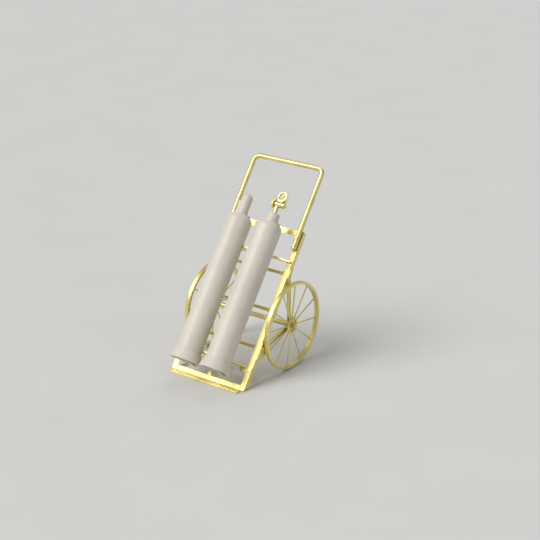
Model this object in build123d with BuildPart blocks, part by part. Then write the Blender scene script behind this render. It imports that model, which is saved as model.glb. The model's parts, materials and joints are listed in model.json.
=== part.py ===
from build123d import *
import math
import os

os.makedirs("parts", exist_ok=True)

# Gas cylinder cart: a ladder frame with a tall hoop handle, two spoked wheels on
# struts behind it, and two cylinders standing side by side in scalloped cradles.
# Everything is laid out in the cart's own frame: X across the cart, Y from the
# front face of the rails towards the wheels, Z up the rails from the top edge of
# the bottom bar. CART then leans the whole cart back on to its wheels, so that
# world Z = 0 is the floor. The cart faces -Y.

# ---------------------------------------------------------------- main sizes, mm
RAIL_INNER_X = 268.0        # inner edge of each rail's front flange
RAIL_SIZE = 38.0            # equal angle section
RAIL_T = 5.0
RAIL_OUTER_X = RAIL_INNER_X + RAIL_SIZE
RAIL_TOP = 1116.0
CORNER_R = 14.0             # rounded lower outer corner of each rail
BAR_DROP = 27.0             # bottom bar, down to the inner corner of its bend
FLANGE_BACK = 40.0          # the bottom bar's flange along the sole plate
SOLE_T = 5.0
SOLE_HALF_X = 290.0
SOLE_TOE = 52.0             # sole plate in front of the bottom bar
SOLE_HEEL = 46.0            # sole plate behind the bottom bar's front face

WHEEL_R = 310.0
WHEEL_Y = 233.0
WHEEL_Z = 518.0
RIM_T = 20.0
RIM_W = 30.0
RIM_X = 338.0               # middle plane of the rim
SPOKE_X = 329.0             # the spokes stand nearer the rim's inner face
SPOKES = 12
SPOKE_R = 5.0
HUB_R = 54.0
HUB_IN_X = 322.0
HUB_OUT_X = 345.0
HUB_RECESS = 13.0           # dished outer face, round a boss for the bush
HUB_RECESS_R = 42.0
HUB_BOSS_R = 22.0
HUB_BOSS_X = 340.0
BUSH_R = 16.0
AXLE_R = 10.0
AXLE_FIT = 0.05             # running clearance, on the radius
AXLE_END_X = 363.0

HANDLE_X = 285.0            # centre line of each handle leg
HANDLE_R = 17.5
HANDLE_BORE = 14.5
HANDLE_TOP = 1567.0
HANDLE_END = 982.0
HANDLE_BEND = 44.0
HANDLE_Y = -HANDLE_R
HANDLE_BOLT_Z = (1004.0, 1058.0)

CROSS_Z = 1097.0            # flat top cross bar
CROSS_H = 37.0
CROSS_T = 5.0
ROD_Z = (278.0, 544.0, 809.0)
ROD_Y = 22.0
ROD_R = 11.0
ROD_END_R = 8.0
COLLAR_R = 15.0
COLLAR_W = 14.0
POST_W = 19.0
POST_T = 8.0

CYL_X = 125.0
CYL_Y = -144.0
CYL_R = 89.0
CYL_WALL = 6.0
CYL_FOOT_Z = 28.0
CYL_BASE_Z = 38.0
CYL_SHOULDER_Z = 1044.0
NECK_Z = 1098.0
NECK_R = 42.0
NECK_TOP = 1160.0
NECK_BORE = 15.0
FOOT_R = 110.0
FOOT_TOP = 98.0

CRADLE_T = 9.0
TAB_T = 5.0
CRADLE_UPPER_Z = 884.0      # underside of the upper cradle plate
CRADLE_LOWER_Z = 123.0
CRADLE_R = CYL_R + 1.0      # scallop, clear of the cylinder
CUSP_Y = -122.0             # tip of the finger between the cylinders
TAB_H = 40.0
FOOT_LEDGE_T = 5.0

STRUT_T = 6.0
STRUT_W = 38.0
CHANNEL_WEB = 4.0
CHANNEL_DEEP = 8.0
PADDLE_R = 36.0             # disc end of each strut, round the axle
GUSSET_T = 6.0
BEAM_R = 17.0               # axle tube between the struts

RIVET_R = 4.0
RIVET_HEAD_R = 7.0
RIVET_HEAD_H = 3.5
RIVET_GRIP = 10.0

# ------------------------------------------------------------- lean of the cart
# The sole plate lies under the bottom bar and the wheels touch the same floor,
# which fixes the angle between the rails and the vertical.
_dy = WHEEL_Y - RAIL_T
_dz = WHEEL_Z + BAR_DROP
LEAN = math.acos((WHEEL_R - SOLE_T) / math.hypot(_dy, _dz)) - math.atan2(_dy, _dz)
SIN, COS = math.sin(LEAN), math.cos(LEAN)
CART_Z = SOLE_T + RAIL_T * SIN + BAR_DROP * COS
FRONT_Y = (CYL_Y - FOOT_R) * COS + CYL_FOOT_Z * SIN
BACK_Y = HANDLE_Y * COS + HANDLE_TOP * SIN + HANDLE_R
CART_Y = -(FRONT_Y + BACK_Y) / 2
CART = Plane(origin=(0, CART_Y, CART_Z), x_dir=(1, 0, 0), z_dir=(0, SIN, COS))
# Where the front face of the bottom bar meets the sole plate, in world Y.
BAR_FOOT_Z = -BAR_DROP - RAIL_T * SIN / COS
BAR_WORLD_Y = BAR_FOOT_Z * SIN + CART_Y


def at(x, y, z, along="z"):
    """Plane at a point of the cart, facing one of the cart's directions."""
    way = {
        "x": (CART.x_dir, CART.y_dir),
        "-x": (-CART.x_dir, CART.y_dir),
        "y": (CART.y_dir, -CART.x_dir),
        "-y": (-CART.y_dir, CART.x_dir),
        "z": (CART.z_dir, CART.x_dir),
        "-z": (-CART.z_dir, CART.x_dir),
    }[along]
    return Plane(
        origin=CART.from_local_coords(Vector(x, y, z)), x_dir=way[1], z_dir=way[0]
    )


def front(y=0.0):
    """Upright plane across the cart: local X across, local Y up, facing front."""
    return at(0, y, 0, "-y")


def side(x=0.0):
    """Upright plane along the cart: local X back, local Y up, facing +X."""
    return at(x, 0, 0, "x")


def level(z=0.0):
    """Plane square to the rails: local X across, local Y back."""
    return at(0, 0, z, "z")


def upright_axis(x, y):
    return Axis(CART.from_local_coords(Vector(x, y, 0)), CART.z_dir)


def cross_axis(y, z):
    return Axis(CART.from_local_coords(Vector(0, y, z)), CART.x_dir)


def dome(edge_r, edge_z, height, up=1):
    """Middle and top points of a round cap drawn over an edge circle."""
    ball = (edge_r**2 + height**2) / (2 * height)
    half = math.atan2(edge_r, ball - height) / 2
    centre = height - ball
    return (
        (ball * math.sin(half), edge_z + up * (centre + ball * math.cos(half))),
        (0, edge_z + up * height),
    )


def save(piece, label):
    piece.part.label = label
    export_step(piece.part, f"parts/{label}.step")


# --------------------------------------------------------------------- the frame
# Rails: angle section, front flange across and side flange behind its outer edge.
# Each foot is cut on the sole plate's top face, so it stands flat on the plate.
sole_top = Plane(origin=(0, 0, SOLE_T), z_dir=(0, 0, 1))

with BuildPart() as side_rail_right:
    with BuildSketch(level(-60)):
        with BuildLine():
            Polyline(
                (RAIL_INNER_X, 0),
                (RAIL_OUTER_X, 0),
                (RAIL_OUTER_X, RAIL_SIZE),
                (RAIL_OUTER_X - RAIL_T, RAIL_SIZE),
                (RAIL_OUTER_X - RAIL_T, RAIL_T),
                (RAIL_INNER_X, RAIL_T),
                close=True,
            )
        make_face()
    extrude(amount=RAIL_TOP + 60)
    with BuildSketch(front(0)):
        with BuildLine():
            corner = (RAIL_OUTER_X - CORNER_R, -BAR_DROP - 4 + CORNER_R)
            Line((RAIL_INNER_X - 1, -60), (RAIL_INNER_X - 1, RAIL_TOP))
            Line((RAIL_INNER_X - 1, RAIL_TOP), (RAIL_OUTER_X - 5, RAIL_TOP))
            Line((RAIL_OUTER_X - 5, RAIL_TOP), (RAIL_OUTER_X, RAIL_TOP - 9))
            Line((RAIL_OUTER_X, RAIL_TOP - 9), (RAIL_OUTER_X, corner[1]))
            CenterArc(corner, CORNER_R, 0, -90)
            Line((corner[0], corner[1] - CORNER_R), (corner[0], -60))
            Line((corner[0], -60), (RAIL_INNER_X - 1, -60))
        make_face()
    extrude(amount=-RAIL_SIZE - 1, mode=Mode.INTERSECT)
    split(bisect_by=sole_top, keep=Keep.TOP)
    # Tie rod and strut bolt holes in the side flange, handle bolts in the front.
    with BuildSketch(side(RAIL_OUTER_X)):
        with Locations(*[(ROD_Y, z) for z in ROD_Z]):
            Circle(ROD_END_R)
        with Locations((ROD_Y, 846), (ROD_Y, 225)):
            Circle(5)
    extrude(amount=-RAIL_T, mode=Mode.SUBTRACT)
    with BuildSketch(front(0)):
        with Locations(*[(HANDLE_X, z) for z in HANDLE_BOLT_Z]):
            Circle(5)
        with Locations(
            (HANDLE_X, CROSS_Z - 9), (HANDLE_X, CROSS_Z + 9),
            (RAIL_INNER_X + 12, CRADLE_UPPER_Z - 24), (RAIL_INNER_X + 26, CRADLE_UPPER_Z - 24),
            (RAIL_INNER_X + 12, CRADLE_LOWER_Z - 24), (RAIL_INNER_X + 26, CRADLE_LOWER_Z - 24),
        ):
            Circle(RIVET_R)
    extrude(amount=-RAIL_T, mode=Mode.SUBTRACT)
save(side_rail_right, "side_rail_right")

with BuildPart() as side_rail_left:
    mirror(side_rail_right.part, about=Plane.YZ)
save(side_rail_left, "side_rail_left")

# Bottom bar: flat front face, bent back along the sole plate.
SOLE_RIVET_X = (-220.0, -110.0, 0.0, 110.0, 220.0)
SOLE_RIVET_Y = BAR_WORLD_Y + 30.0
bend_back = (RAIL_T + FLANGE_BACK * COS, -BAR_DROP + FLANGE_BACK * SIN)
with BuildPart() as bottom_bar:
    with BuildSketch(side(-RAIL_INNER_X)):
        with BuildLine():
            Polyline(
                (0, 0),
                (RAIL_T, 0),
                (RAIL_T, -BAR_DROP + SOLE_T / COS),
                (bend_back[0] - SOLE_T * SIN, bend_back[1] + SOLE_T * COS),
                bend_back,
                (RAIL_T, -BAR_DROP),
                (0, BAR_FOOT_Z),
                close=True,
            )
        make_face()
    extrude(amount=2 * RAIL_INNER_X)
    with BuildSketch(Plane.XY.offset(SOLE_T)):
        with Locations(*[(x, SOLE_RIVET_Y) for x in SOLE_RIVET_X]):
            Circle(RIVET_R)
    extrude(amount=SOLE_T, mode=Mode.SUBTRACT)
save(bottom_bar, "bottom_bar")

# Sole plate: lies flat on the floor, its toe ahead of the bottom bar, with three
# raised treads along the toe.
TREAD_W = 8.0
TREAD_H = 5.0
TREAD_AT = (4.0, 19.0, 34.0)    # tread centre lines, back from the toe edge
with BuildPart() as sole_plate:
    with BuildSketch(Plane.XY):
        with Locations((0, BAR_WORLD_Y + (SOLE_HEEL - SOLE_TOE) / 2)):
            RectangleRounded(2 * SOLE_HALF_X, SOLE_TOE + SOLE_HEEL, 7)
    extrude(amount=SOLE_T)
    with BuildSketch(Plane.XY.offset(SOLE_T)):
        with Locations(*[(0, BAR_WORLD_Y - SOLE_TOE + y) for y in TREAD_AT]):
            Rectangle(2 * (SOLE_HALF_X - 7), TREAD_W)
    treads = extrude(amount=TREAD_H)
    chamfer(treads.edges().filter_by(Axis.X).group_by(Axis.Z)[-1], 1.5)
    with BuildSketch(Plane.XY):
        with Locations(*[(x, SOLE_RIVET_Y) for x in SOLE_RIVET_X]):
            Circle(RIVET_R)
    extrude(amount=SOLE_T, mode=Mode.SUBTRACT)
save(sole_plate, "sole_plate")

# Top cross bar: flat bar behind the front flanges.
with BuildPart() as top_cross_bar:
    with BuildSketch(front(RAIL_T)):
        with Locations((0, CROSS_Z)):
            Rectangle(2 * (RAIL_OUTER_X - RAIL_T), CROSS_H)
        with Locations(*[
            (s * HANDLE_X, CROSS_Z + dz) for s in (-1, 1) for dz in (-9, 9)
        ]):
            Circle(RIVET_R, mode=Mode.SUBTRACT)
    extrude(amount=-CROSS_T)
save(top_cross_bar, "top_cross_bar")

# Tie rods: three round bars, shouldered between the side flanges and threaded
# through them. The lowest takes the lower strut, the highest the upper strut.
ROD_OUT = {
    ROD_Z[0]: RAIL_OUTER_X + GUSSET_T + CHANNEL_WEB,
    ROD_Z[1]: RAIL_OUTER_X,
    ROD_Z[2]: RAIL_OUTER_X + STRUT_T,
}
ROD_NUT_H = 7.0
with BuildPart() as tie_rods:
    for z in ROD_Z:
        with BuildSketch(at(RAIL_OUTER_X - RAIL_T, ROD_Y, z, "-x")):
            Circle(ROD_R)
        extrude(amount=2 * (RAIL_OUTER_X - RAIL_T))
        for s, way in ((1, "x"), (-1, "-x")):
            with BuildSketch(at(s * (RAIL_OUTER_X - RAIL_T), ROD_Y, z, way)):
                Circle(ROD_END_R)
            extrude(amount=ROD_OUT[z] - RAIL_OUTER_X + RAIL_T + ROD_NUT_H)
save(tie_rods, "tie_rods")

with BuildPart() as rod_collars:
    for z in ROD_Z:
        for s, way in ((1, "-x"), (-1, "x")):
            with BuildSketch(at(s * (RAIL_INNER_X - 2), ROD_Y, z, way)):
                Circle(COLLAR_R)
                Circle(ROD_R, mode=Mode.SUBTRACT)
            extrude(amount=COLLAR_W)
save(rod_collars, "rod_collars")

with BuildPart() as rod_nuts:
    for z in ROD_Z:
        for s, way in ((1, "x"), (-1, "-x")):
            with BuildSketch(at(s * ROD_OUT[z], ROD_Y, z, way)):
                RegularPolygon(13.5, 6)
                Circle(ROD_END_R, mode=Mode.SUBTRACT)
            extrude(amount=ROD_NUT_H)
save(rod_nuts, "rod_nuts")

# Centre post: from the bottom bar up to the lowest tie rod, with a flared foot.
with BuildPart() as center_post:
    with BuildSketch(front(0)):
        with BuildLine():
            Polyline(
                (-POST_W / 2 - 9, 0), (POST_W / 2 + 9, 0), (POST_W / 2, 17),
                (POST_W / 2, ROD_Z[0] + 17), (-POST_W / 2, ROD_Z[0] + 17),
                (-POST_W / 2, 17), close=True,
            )
        make_face()
    extrude(amount=-POST_T)
    with BuildSketch(side(-POST_W / 2)):
        with Locations(((POST_T + ROD_Y + 17) / 2 - 1, ROD_Z[0])):
            Rectangle(ROD_Y + 17 - POST_T + 2, 34)
        with Locations((ROD_Y, ROD_Z[0])):
            Circle(ROD_R, mode=Mode.SUBTRACT)
    extrude(amount=POST_W)
save(center_post, "center_post")

# Handle: one tube bent into a hoop, its legs lying on the fronts of the rails.
with BuildPart() as handle_tube:
    with BuildLine(front(HANDLE_Y)):
        FilletPolyline(
            (-HANDLE_X, HANDLE_END), (-HANDLE_X, HANDLE_TOP),
            (HANDLE_X, HANDLE_TOP), (HANDLE_X, HANDLE_END),
            radius=HANDLE_BEND,
        )
    with BuildSketch(at(-HANDLE_X, HANDLE_Y, HANDLE_END, "z")):
        Circle(HANDLE_R)
        Circle(HANDLE_BORE, mode=Mode.SUBTRACT)
    sweep()
    with BuildSketch(front(0)):
        with Locations(*[(s * HANDLE_X, z) for s in (-1, 1) for z in HANDLE_BOLT_Z]):
            Circle(5)
    extrude(amount=2 * HANDLE_R, mode=Mode.SUBTRACT)
save(handle_tube, "handle_tube")

# Domed plugs close the two leg ends.
with BuildPart() as handle_plugs:
    for s in (-1, 1):
        with BuildSketch(at(s * HANDLE_X, HANDLE_Y, 0, "-y")):
            with BuildLine():
                Polyline(
                    (0, HANDLE_END - 10), (0, HANDLE_END + 14), (HANDLE_BORE, HANDLE_END + 14),
                    (HANDLE_BORE, HANDLE_END), (HANDLE_R, HANDLE_END),
                    (HANDLE_R, HANDLE_END - 2),
                )
                ThreePointArc(
                    (HANDLE_R, HANDLE_END - 2), *dome(HANDLE_R, HANDLE_END - 2, 8, -1)
                )
            make_face()
        revolve(axis=upright_axis(s * HANDLE_X, HANDLE_Y))
save(handle_plugs, "handle_plugs")

# Handle bolts: low round heads in front, shanks through tube and flange.
M10_NUT_H = 8.0
with BuildPart() as handle_bolts:
    for s in (-1, 1):
        for z in HANDLE_BOLT_Z:
            with BuildSketch(at(s * HANDLE_X, RAIL_T + M10_NUT_H + 2, z, "-y")):
                Circle(5)
            extrude(amount=RAIL_T + M10_NUT_H + 2 + 2 * HANDLE_R)
            with BuildSketch(at(s * HANDLE_X, -2 * HANDLE_R, z, "-y")):
                Circle(8.5)
            extrude(amount=3.5, taper=25)
save(handle_bolts, "handle_bolts")

# ----------------------------------------------------- cradles and foot hangers
# Each cradle is a flat plate square to the rails with two scallops for the
# cylinders, a finger between them, and a rounded tab down the front of each rail.
HANGER_X = 125.0
HANGER_W = 36.0
HANGER_T = 6.0
HANGER_Y = -26.0
HANGER_TOE_Y = -62.0


def cradle(z, horn, label):
    """z: underside of the plate; horn: front corners between rail and scallop."""
    with BuildPart() as plate:
        with BuildSketch(level(z)):
            with BuildLine():
                Polyline(
                    (-RAIL_OUTER_X, 0), (RAIL_OUTER_X, 0), *horn, (CYL_X + 62, CYL_Y),
                    (38, CYL_Y), (30, CUSP_Y), (-30, CUSP_Y), (-38, CYL_Y),
                    (-CYL_X - 62, CYL_Y), *[(-x, y) for x, y in reversed(horn)],
                    close=True,
                )
            make_face()
            with Locations((-CYL_X, CYL_Y), (CYL_X, CYL_Y)):
                Circle(CRADLE_R, mode=Mode.SUBTRACT)
            with Locations((0, CYL_Y - 60)):
                Rectangle(2 * RAIL_OUTER_X, 2 * (CUSP_Y - CYL_Y + 60), mode=Mode.SUBTRACT,
                          align=(Align.CENTER, Align.CENTER))
        extrude(amount=CRADLE_T)
        for s in (-1, 1):
            with BuildSketch(front(0)):
                with Locations((s * (RAIL_INNER_X + RAIL_SIZE / 2), z - TAB_H / 2)):
                    Rectangle(RAIL_SIZE, TAB_H)
            tab = extrude(amount=TAB_T)
            fillet(tab.edges().filter_by(Axis(CART.origin, CART.y_dir)).group_by(
                Axis(CART.origin, CART.z_dir))[0], 12)
        with BuildSketch(front(0)):
            with Locations(*[
                (s * (RAIL_INNER_X + dx), z - 24) for s in (-1, 1) for dx in (12, 26)
            ]):
                Circle(RIVET_R)
        extrude(amount=TAB_T, mode=Mode.SUBTRACT)
    save(plate, label)
    return plate


cradle_upper = cradle(
    CRADLE_UPPER_Z, [(RAIL_OUTER_X, -32), (193, -62)], "cradle_upper"
)
cradle_lower = cradle(
    CRADLE_LOWER_Z, [(RAIL_OUTER_X, -5), (284, -8), (209, -84)], "cradle_lower"
)

# Corner brackets under the lower cradle, between its tabs and the cylinders, each
# with its free lower corner well rounded.
BRACKET_IN_X = 212.0
BRACKET_H = 36.0
with BuildPart() as cradle_brackets:
    for s in (-1, 1):
        with BuildSketch(front(0)):
            with BuildLine():
                Polyline(
                    (s * (BRACKET_IN_X + 26), CRADLE_LOWER_Z - BRACKET_H),
                    (s * RAIL_INNER_X, CRADLE_LOWER_Z - BRACKET_H + 8),
                    (s * RAIL_INNER_X, CRADLE_LOWER_Z), (s * BRACKET_IN_X, CRADLE_LOWER_Z),
                )
                ThreePointArc(
                    (s * BRACKET_IN_X, CRADLE_LOWER_Z),
                    (s * (BRACKET_IN_X + 7), CRADLE_LOWER_Z - 26),
                    (s * (BRACKET_IN_X + 26), CRADLE_LOWER_Z - BRACKET_H),
                )
            make_face()
        extrude(amount=TAB_T)
save(cradle_brackets, "cradle_brackets")

# Foot hangers: bent straps from the lower cradle, whose toes reach under the back
# of each cylinder's foot ring. The cylinders lean back, so their weight is there.
FOOT_LEDGE_TOP = CYL_FOOT_Z - 0.3   # the cylinders slide off it forwards
with BuildPart() as foot_hangers:
    for s in (-1, 1):
        with BuildSketch(side(s * HANGER_X - HANGER_W / 2)):
            with BuildLine():
                Polyline(
                    (HANGER_Y, CRADLE_LOWER_Z), (HANGER_Y, FOOT_LEDGE_TOP),
                    (HANGER_TOE_Y, FOOT_LEDGE_TOP), (HANGER_TOE_Y, FOOT_LEDGE_TOP - FOOT_LEDGE_T),
                    (HANGER_Y + HANGER_T, FOOT_LEDGE_TOP - FOOT_LEDGE_T),
                    (HANGER_Y + HANGER_T, CRADLE_LOWER_Z), close=True,
                )
            make_face()
        extrude(amount=HANGER_W)
save(foot_hangers, "foot_hangers")

# Rivets: one size throughout, a low round head and a shank hammered flush.
with BuildPart() as rivet:
    with BuildSketch(Plane.XZ):
        with BuildLine():
            Polyline(
                (0, RIVET_GRIP + RIVET_HEAD_H), (0, 0), (RIVET_R, 0),
                (RIVET_R, RIVET_GRIP), (RIVET_HEAD_R, RIVET_GRIP),
            )
            ThreePointArc(
                (RIVET_HEAD_R, RIVET_GRIP), *dome(RIVET_HEAD_R, RIVET_GRIP, RIVET_HEAD_H)
            )
        make_face()
    revolve(axis=Axis.Z)

rivet_places = [
    Plane(origin=(x, SOLE_RIVET_Y, 0), z_dir=(0, 0, 1)).location for x in SOLE_RIVET_X
]
for s in (-1, 1):
    rivet_places += [at(s * HANDLE_X, 0, CROSS_Z + dz, "y").location for dz in (-9, 9)]
    for z in (CRADLE_UPPER_Z, CRADLE_LOWER_Z):
        rivet_places += [
            at(s * (RAIL_INNER_X + dx), RAIL_T, z - 24, "-y").location for dx in (12, 26)
        ]
with BuildPart() as rivets:
    with Locations(*rivet_places):
        add(rivet.part)
save(rivets, "rivets")

# ------------------------------------------------------------- struts and axle
# Upper strut: a tab flat on the rail's side flange, then a flat bar back to the
# axle, ending in a round paddle.
TAB_BOTTOM = 772.0
TAB_TOP = 866.0
strut_start = Vector(ROD_Y - 1, TAB_BOTTOM + 19)
strut_end = Vector(WHEEL_Y, WHEEL_Z)
HUB_BOLT_PCD = 26.0
HUB_BOLT_ANGLES = (80.0, 200.0, 320.0)


def bar_between(start, end, width):
    """Corner points of a straight bar of one width between two points."""
    along = (end - start).normalized()
    across = Vector(-along.Y, along.X) * (width / 2)
    return [start + across, end + across, end - across, start - across]


with BuildPart() as upper_strut_right:
    with BuildSketch(side(RAIL_OUTER_X)):
        with BuildLine():
            Polyline(*[(p.X, p.Y) for p in bar_between(strut_start, strut_end, STRUT_W)],
                     close=True)
        make_face()
        with Locations((ROD_Y - 1, (TAB_BOTTOM + TAB_TOP) / 2)):
            RectangleRounded(34, TAB_TOP - TAB_BOTTOM, 15)
        with Locations((WHEEL_Y, WHEEL_Z)):
            Circle(PADDLE_R)
            Circle(AXLE_R, mode=Mode.SUBTRACT)
            with PolarLocations(HUB_BOLT_PCD, 3, start_angle=HUB_BOLT_ANGLES[0]):
                Circle(4, mode=Mode.SUBTRACT)
        with Locations((ROD_Y, ROD_Z[2])):
            Circle(ROD_END_R, mode=Mode.SUBTRACT)
        with Locations((ROD_Y, 846)):
            Circle(5, mode=Mode.SUBTRACT)
    extrude(amount=STRUT_T)
save(upper_strut_right, "upper_strut_right")

# Gusset plate: flat on the rail's side flange, spreading back under the strut.
with BuildPart() as gusset_right:
    with BuildSketch(side(RAIL_OUTER_X)):
        with BuildLine():
            Polyline(
                (3, 196), (3, 314), (26, 326), (62, 356), (96, 330), (92, 268), (62, 210),
                (34, 196), close=True,
            )
        make_face()
        with Locations((ROD_Y, ROD_Z[0])):
            Circle(ROD_END_R, mode=Mode.SUBTRACT)
        with Locations((ROD_Y, 225), (64, 326)):
            Circle(5, mode=Mode.SUBTRACT)
    extrude(amount=GUSSET_T)
save(gusset_right, "gusset_right")

# Lower strut: a channel, its lips outward, from the gusset back to the axle.
LOWER_X = RAIL_OUTER_X + GUSSET_T
low_start = Vector(ROD_Y, ROD_Z[0])
low_way = (strut_end - low_start).normalized()
LOW_W = 36.0
with BuildPart() as lower_strut_right:
    with BuildSketch(side(LOWER_X)):
        with BuildLine():
            Polyline(*[(p.X, p.Y) for p in bar_between(low_start, strut_end, LOW_W)],
                     close=True)
        make_face()
        with Locations((ROD_Y, ROD_Z[0])):
            Circle(LOW_W / 2)
            Circle(ROD_END_R, mode=Mode.SUBTRACT)
        with Locations((WHEEL_Y, WHEEL_Z)):
            Circle(PADDLE_R)
            Circle(AXLE_R, mode=Mode.SUBTRACT)
            with PolarLocations(HUB_BOLT_PCD, 3, start_angle=HUB_BOLT_ANGLES[0]):
                Circle(4, mode=Mode.SUBTRACT)
        with Locations((64, 326)):
            Circle(5, mode=Mode.SUBTRACT)
    extrude(amount=CHANNEL_WEB)
    lip_start = low_start + low_way * 26
    lip_end = strut_end - low_way * (PADDLE_R + 10)
    lip_across = Vector(-low_way.Y, low_way.X) * (LOW_W / 2 - 2)
    with BuildSketch(side(LOWER_X + CHANNEL_WEB)):
        for s in (-1, 1):
            with BuildLine():
                Polyline(*[
                    (p.X, p.Y) for p in bar_between(
                        lip_start + lip_across * s, lip_end + lip_across * s, 4)
                ], close=True)
            make_face()
    extrude(amount=CHANNEL_DEEP - CHANNEL_WEB)
save(lower_strut_right, "lower_strut_right")

for source, label in (
    (upper_strut_right, "upper_strut_left"),
    (gusset_right, "gusset_left"),
    (lower_strut_right, "lower_strut_left"),
):
    with BuildPart() as mirrored:
        mirror(source.part, about=Plane.YZ)
    save(mirrored, label)

# Strut bolts: through the side flange and the plates outside it.
STRUT_BOLTS = (
    (ROD_Y, 846.0, RAIL_OUTER_X - RAIL_T, RAIL_OUTER_X + STRUT_T),
    (ROD_Y, 225.0, RAIL_OUTER_X - RAIL_T, RAIL_OUTER_X + GUSSET_T),
    (64.0, 326.0, RAIL_OUTER_X, LOWER_X + CHANNEL_WEB),
)
with BuildPart() as strut_bolts:
    for y, z, inner, outer in STRUT_BOLTS:
        for s, way in ((1, "x"), (-1, "-x")):
            with BuildSketch(at(s * (inner - M10_NUT_H), y, z, way)):
                Circle(5)
            extrude(amount=outer - inner + M10_NUT_H)
            with BuildSketch(at(s * outer, y, z, way)):
                Circle(8)
            extrude(amount=4, taper=20)
save(strut_bolts, "strut_bolts")

# Nuts of the strut bolts and of the handle bolts, one size.
with BuildPart() as nuts:
    for y, z, inner, outer in STRUT_BOLTS:
        for s, way in ((1, "-x"), (-1, "x")):
            with BuildSketch(at(s * inner, y, z, way)):
                RegularPolygon(9.2, 6)
                Circle(5, mode=Mode.SUBTRACT)
            extrude(amount=M10_NUT_H)
    for s in (-1, 1):
        for z in HANDLE_BOLT_Z:
            with BuildSketch(at(s * HANDLE_X, RAIL_T, z, "y")):
                RegularPolygon(9.2, 6)
                Circle(5, mode=Mode.SUBTRACT)
            extrude(amount=M10_NUT_H)
save(nuts, "nuts")

# Axle beam: the tube between the struts, round the axle shaft, with an end
# flange on each side bolted to both struts.
FLANGE_T = 6.0
with BuildPart() as axle_beam:
    with BuildSketch(at(-RAIL_OUTER_X + FLANGE_T, WHEEL_Y, WHEEL_Z, "x")):
        Circle(BEAM_R)
        Circle(AXLE_R, mode=Mode.SUBTRACT)
    extrude(amount=2 * (RAIL_OUTER_X - FLANGE_T))
save(axle_beam, "axle_beam")

with BuildPart() as axle_flanges:
    for s, way in ((1, "-x"), (-1, "x")):
        with BuildSketch(at(s * RAIL_OUTER_X, WHEEL_Y, WHEEL_Z, way)):
            Circle(PADDLE_R)
            Circle(AXLE_R, mode=Mode.SUBTRACT)
        extrude(amount=FLANGE_T)
    with BuildSketch(side(-RAIL_OUTER_X)):
        with Locations((WHEEL_Y, WHEEL_Z)):
            with PolarLocations(HUB_BOLT_PCD, 3, start_angle=HUB_BOLT_ANGLES[0]):
                Circle(4)
    extrude(amount=2 * RAIL_OUTER_X, mode=Mode.SUBTRACT)
save(axle_flanges, "axle_flanges")

hub_bolt_points = [
    (WHEEL_Y + HUB_BOLT_PCD * math.cos(math.radians(a)),
     WHEEL_Z + HUB_BOLT_PCD * math.sin(math.radians(a)))
    for a in HUB_BOLT_ANGLES
]
HUB_BOLT_OUT = LOWER_X + CHANNEL_WEB
with BuildPart() as hub_bolts:
    for y, z in hub_bolt_points:
        for s, way in ((1, "x"), (-1, "-x")):
            with BuildSketch(at(s * (RAIL_OUTER_X - FLANGE_T - 8), y, z, way)):
                Circle(4)
            extrude(amount=HUB_BOLT_OUT - RAIL_OUTER_X + FLANGE_T + 8)
            with BuildSketch(at(s * HUB_BOLT_OUT, y, z, way)):
                Circle(6.5)
            extrude(amount=4, taper=20)
save(hub_bolts, "hub_bolts")

with BuildPart() as hub_bolt_nuts:
    for y, z in hub_bolt_points:
        for s, way in ((1, "-x"), (-1, "x")):
            with BuildSketch(at(s * (RAIL_OUTER_X - FLANGE_T), y, z, way)):
                RegularPolygon(7.2, 6)
                Circle(4, mode=Mode.SUBTRACT)
            extrude(amount=6.5)
save(hub_bolt_nuts, "hub_bolt_nuts")

# Axle shaft: plain round bar, cross drilled at each end for a cotter pin.
COTTER_X = AXLE_END_X - 5.0
with BuildPart() as axle_shaft:
    with BuildSketch(at(-AXLE_END_X, WHEEL_Y, WHEEL_Z, "x")):
        Circle(AXLE_R)
    extrude(amount=2 * AXLE_END_X)
    chamfer(axle_shaft.edges().filter_by(GeomType.CIRCLE), 1.5)
    with BuildSketch(at(0, WHEEL_Y, WHEEL_Z - 2 * AXLE_R, "z")):
        with Locations((COTTER_X, 0), (-COTTER_X, 0)):
            Circle(2)
    extrude(amount=4 * AXLE_R, mode=Mode.SUBTRACT)
save(axle_shaft, "axle_shaft")

AXLE_WASHER_T = 5.0
AXLE_WASHER_R = 14.0
OUT_WASHER_X = HUB_BOSS_X + 1.0
with BuildPart() as axle_washers:
    for x in (HUB_BOLT_OUT, OUT_WASHER_X):
        for s, way in ((1, "x"), (-1, "-x")):
            with BuildSketch(at(s * x, WHEEL_Y, WHEEL_Z, way)):
                Circle(AXLE_WASHER_R)
                Circle(AXLE_R, mode=Mode.SUBTRACT)
            extrude(amount=AXLE_WASHER_T)
save(axle_washers, "axle_washers")

AXLE_NUT_X = OUT_WASHER_X + AXLE_WASHER_T
AXLE_NUT_H = COTTER_X - 2.5 - AXLE_NUT_X
with BuildPart() as axle_nuts:
    for s, way in ((1, "x"), (-1, "-x")):
        with BuildSketch(at(s * AXLE_NUT_X, WHEEL_Y, WHEEL_Z, way)):
            RegularPolygon(17, 6)
            Circle(AXLE_R, mode=Mode.SUBTRACT)
        extrude(amount=AXLE_NUT_H)
save(axle_nuts, "axle_nuts")

# Cotter pins: a round eye and a straight leg through the shaft.
with BuildPart() as cotter_pins:
    for s in (-1, 1):
        with BuildSketch(at(s * COTTER_X, WHEEL_Y, WHEEL_Z - AXLE_R - 8, "z")):
            Circle(2)
        extrude(amount=2 * AXLE_R + 12)
        with BuildSketch(at(s * COTTER_X - 1.6, WHEEL_Y, WHEEL_Z + AXLE_R + 8, "x")):
            Circle(6)
            Circle(2.6, mode=Mode.SUBTRACT)
        extrude(amount=3.2)
save(cotter_pins, "cotter_pins")

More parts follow.
